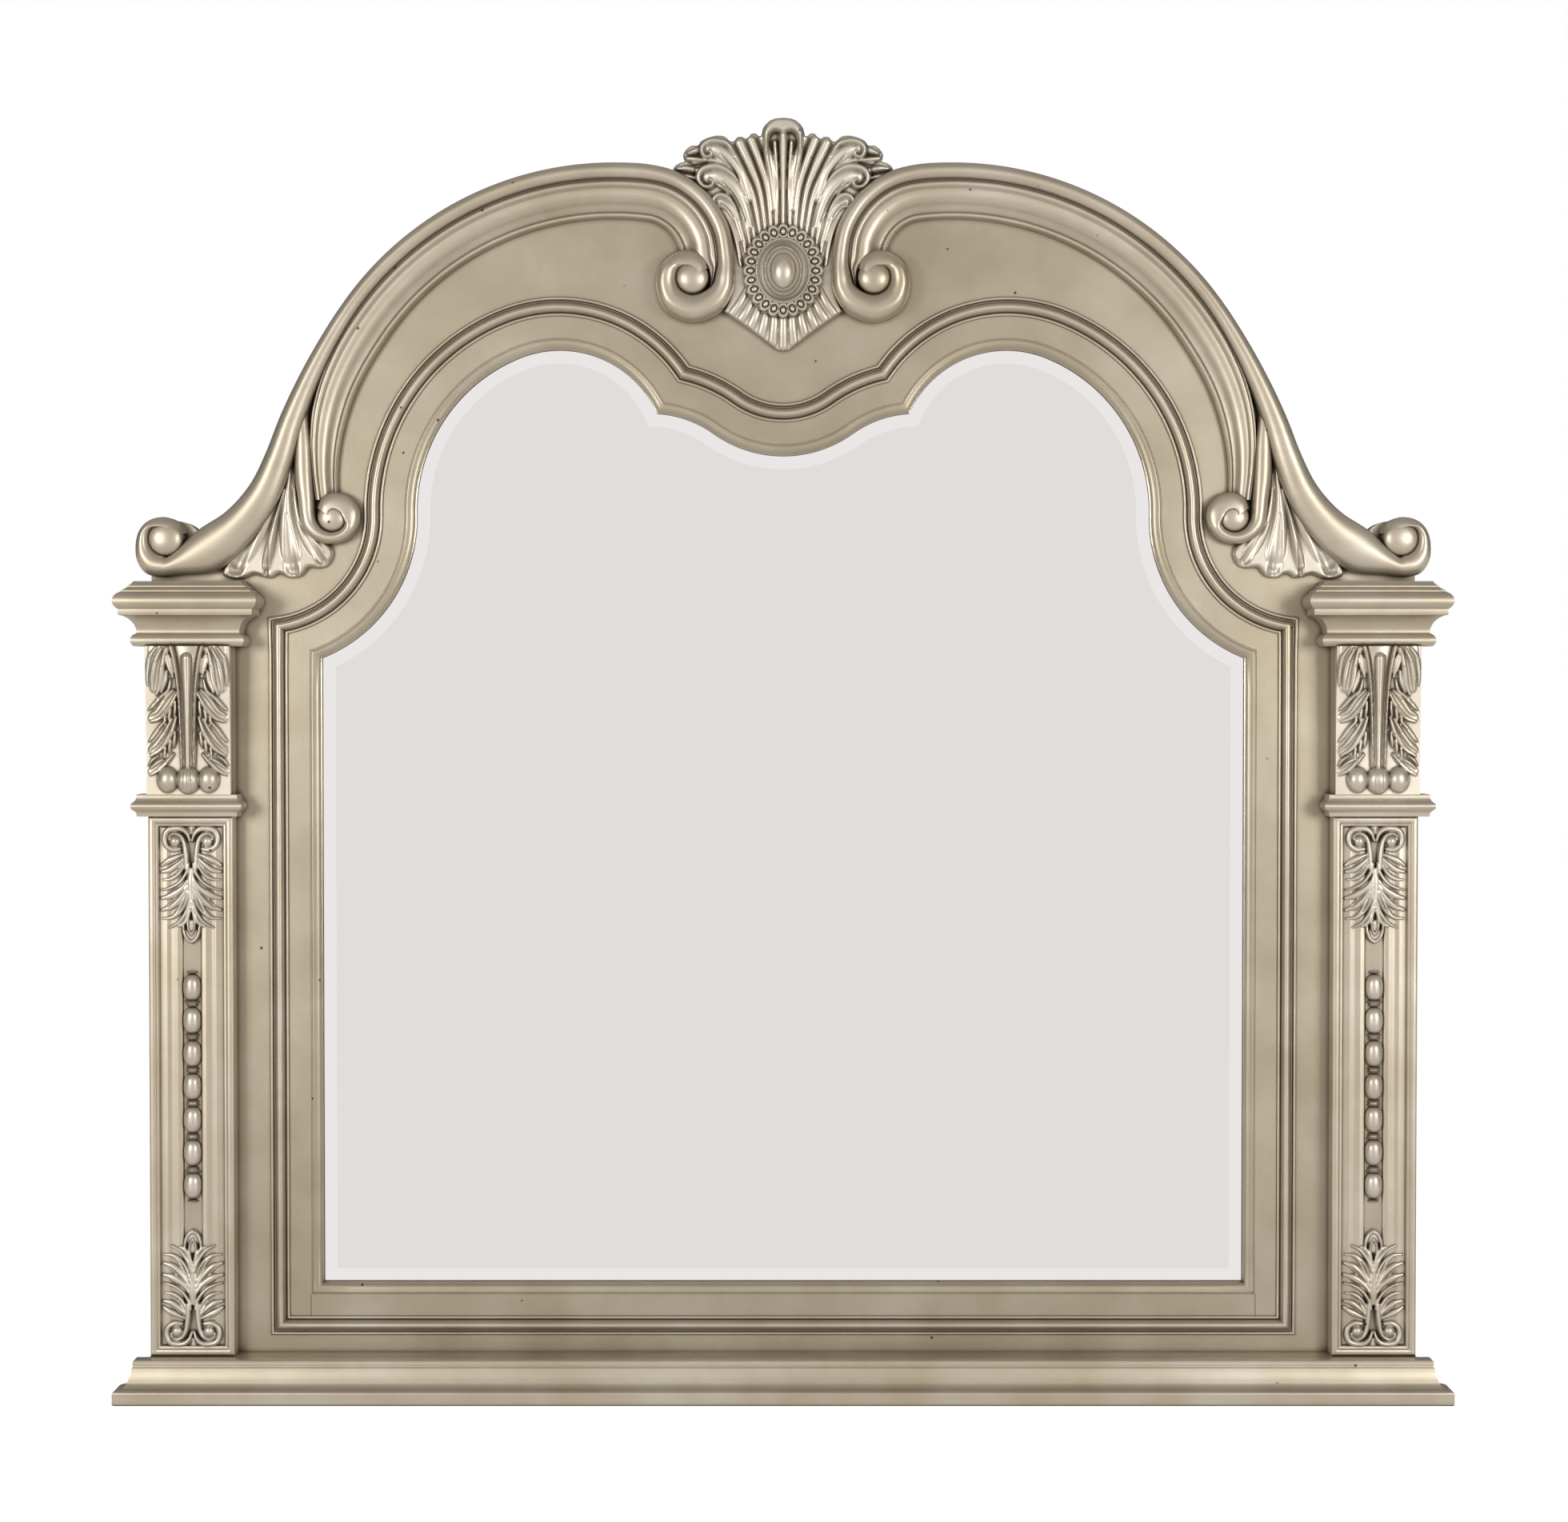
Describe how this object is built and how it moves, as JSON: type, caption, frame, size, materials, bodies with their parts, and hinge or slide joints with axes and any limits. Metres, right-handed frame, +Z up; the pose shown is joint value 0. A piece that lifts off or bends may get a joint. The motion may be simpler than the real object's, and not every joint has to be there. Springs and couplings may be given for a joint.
{
  "type": "beveled mirror",
  "caption": "Standing dresser mirror with a shaped, bevelled glass in an arched, carved frame with pilasters, corbels, capitals, scrolls and a shell crest.",
  "frame": {"origin": "centre of the bounding box in plan, on the underside of the base", "axes": "+X to the viewer's right, -Y towards the viewer in front of the glass, +Z up"},
  "size_m": [1.2538, 0.087, 1.2041],
  "materials": {
    "champagne_wood": "champagne metallic paint with an umber antique glaze",
    "champagne_resin": "cast resin carving, champagne metallic paint with an umber antique glaze",
    "silvered_glass": "polished, ground bevel",
    "backing_fibreboard": "smooth brown fibreboard",
    "raw_wood": "unfinished",
    "zinc_steel": "zinc plated",
    "brass": "plain"
  },
  "bodies": {
    "root": {"arch_moulding_left": "champagne_resin", "arch_moulding_right": "champagne_resin", "backing_board": "backing_fibreboard", "backing_screws": "zinc_steel", "base_front_moulding": "champagne_wood", "base_return_left": "champagne_wood", "base_return_right": "champagne_wood", "bead_bottom": "champagne_wood", "bead_left": "champagne_wood", "bead_right": "champagne_wood", "bead_top": "champagne_wood", "bottom_rail_board": "champagne_wood", "capital_core_left": "champagne_wood", "capital_core_right": "champagne_wood", "capital_front_left": "champagne_wood", "capital_front_right": "champagne_wood", "capital_inner_return_left": "champagne_wood", "capital_inner_return_right": "champagne_wood", "capital_outer_return_left": "champagne_wood", "capital_outer_return_right": "champagne_wood", "corbel_left": "champagne_resin", "corbel_right": "champagne_resin", "crest_rosette": "champagne_resin", "crest_shell": "champagne_resin", "crown_board": "champagne_wood", "frame_dowels": "raw_wood", "glass_strip_bottom": "raw_wood", "glass_strip_side_left": "raw_wood", "glass_strip_side_right": "raw_wood", "glass_strip_top_left": "raw_wood", "glass_strip_top_right": "raw_wood", "lower_leaf_left": "champagne_resin", "lower_leaf_right": "champagne_resin", "mirror_glass": "silvered_glass", "neck_moulding_left": "champagne_wood", "neck_moulding_right": "champagne_wood", "pearl_strip_left": "champagne_resin", "pearl_strip_right": "champagne_resin", "pier_left": "champagne_wood", "pier_right": "champagne_wood", "pilaster_left": "champagne_wood", "pilaster_right": "champagne_wood", "plinth_core": "champagne_wood", "shell_fan_left": "champagne_resin", "shell_fan_right": "champagne_resin", "sight_frame_bottom": "champagne_wood", "sight_frame_left": "champagne_wood", "sight_frame_right": "champagne_wood", "sight_frame_top": "champagne_wood", "stile_board_left": "champagne_wood", "stile_board_right": "champagne_wood", "support_inserts": "brass", "upper_leaf_left": "champagne_resin", "upper_leaf_right": "champagne_resin"}
  },
  "joints": []
}
